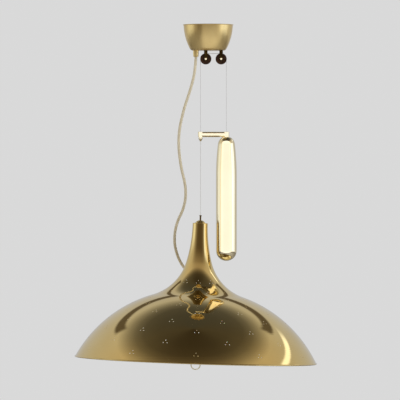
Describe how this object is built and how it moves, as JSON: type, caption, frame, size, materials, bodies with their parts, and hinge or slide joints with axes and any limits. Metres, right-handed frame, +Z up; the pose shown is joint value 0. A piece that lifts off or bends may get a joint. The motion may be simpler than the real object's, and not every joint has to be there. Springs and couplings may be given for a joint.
{
  "type": "rise and fall pendant",
  "caption": "Perforated bell-shaped brass pendant that rises and falls on a wire over pulleys, balanced by a slim cylindrical counterweight, with canopy, supply cord and pull ring.",
  "frame": {"origin": "middle of the ceiling bracket's top face, where the canopy meets the ceiling", "axes": "+Z up into the ceiling, -Y towards the viewer, the shade's wire on the -X side and the counterweight on the +X side"},
  "size_m": [0.5816, 0.5818, 0.8289],
  "materials": {
    "polished_brass": "polished",
    "satin_brass": "satin",
    "zinc_steel": "satin",
    "wire_steel": "satin",
    "steel_slug": "matte",
    "white_lacquer": "satin",
    "brown_plastic": "gloss",
    "white_plastic": "matte",
    "opal_glass": "gloss",
    "cream_fabric": "matte",
    "brown_rubber": "matte"
  },
  "bodies": {
    "canopy": {"ceiling_bracket": "zinc_steel", "canopy_cup": "satin_brass", "grub_screws": "zinc_steel", "carrier_plate": "zinc_steel", "terminal_block": "white_plastic", "block_screw": "zinc_steel", "cord_gland": "satin_brass", "gland_nut": "satin_brass", "left_pulley_fork": "satin_brass", "right_pulley_fork": "satin_brass", "pulley_pins": "zinc_steel", "fork_nuts": "satin_brass", "wire_over_pulleys": "wire_steel", "shade_wire": "wire_steel", "weight_wire": "wire_steel", "supply_cord": "cream_fabric"},
    "left_pulley": {"left_pulley_wheel": "brown_plastic", "left_pulley_bush": "satin_brass"},
    "right_pulley": {"right_pulley_wheel": "brown_plastic", "right_pulley_bush": "satin_brass"},
    "shade": {"shade_shell": "polished_brass", "neck_cap": "polished_brass", "wire_stem": "zinc_steel", "hanger_tube": "zinc_steel", "neck_washer": "zinc_steel", "neck_nut": "zinc_steel", "carrier_nuts": "zinc_steel", "pull_rod": "polished_brass", "lamp_carrier": "white_lacquer", "lampholder_1": "white_plastic", "lampholder_2": "white_plastic", "lampholder_3": "white_plastic", "bulb_1": "opal_glass", "bulb_2": "opal_glass", "bulb_3": "opal_glass", "lampholder_nuts": "zinc_steel", "pull_eye": "polished_brass", "cord_grommet": "brown_rubber"},
    "pull_ring": {"pull_ring": "polished_brass"},
    "counterweight": {"arm_collar": "satin_brass", "guide_tube": "satin_brass", "guide_cone": "satin_brass", "cross_arm": "satin_brass", "arm_spigots": "zinc_steel", "wire_ferrule": "zinc_steel", "weight_shell": "polished_brass", "weight_ballast": "steel_slug", "weight_nut": "zinc_steel"}
  },
  "joints": [
    {"name": "rise_fall", "type": "slide", "parent": "canopy", "child": "shade", "axis": [0, 0, 1], "range_m": [-0.15, 0.015], "deforming": ["shade_wire", "supply_cord"]},
    {"name": "weight_slide", "type": "slide", "parent": "canopy", "child": "counterweight", "axis": [0, 0, 1], "range_m": [-0.016, 0.151], "deforming": ["weight_wire"]},
    {"name": "left_pulley_spin", "type": "hinge", "parent": "canopy", "child": "left_pulley", "pos_m": [-0.0058, 0, -0.0825], "axis": [0, 1, 0], "range_deg": [-690, 75]},
    {"name": "right_pulley_spin", "type": "hinge", "parent": "canopy", "child": "right_pulley", "pos_m": [0.031, 0, -0.0825], "axis": [0, 1, 0], "range_deg": [-690, 75]},
    {"name": "pull_ring_swing", "type": "hinge", "parent": "shade", "child": "pull_ring", "pos_m": [-0.02994, 0, -0.80561], "axis": [0.9995, 0, -0.0332], "range_deg": [-75, 75]}
  ],
  "couplings": [
    {"joint": "weight_slide", "follows": "rise_fall", "ratio": -1},
    {"joint": "left_pulley_spin", "follows": "rise_fall", "rad_per_m": 79.365},
    {"joint": "right_pulley_spin", "follows": "rise_fall", "rad_per_m": 79.365}
  ]
}
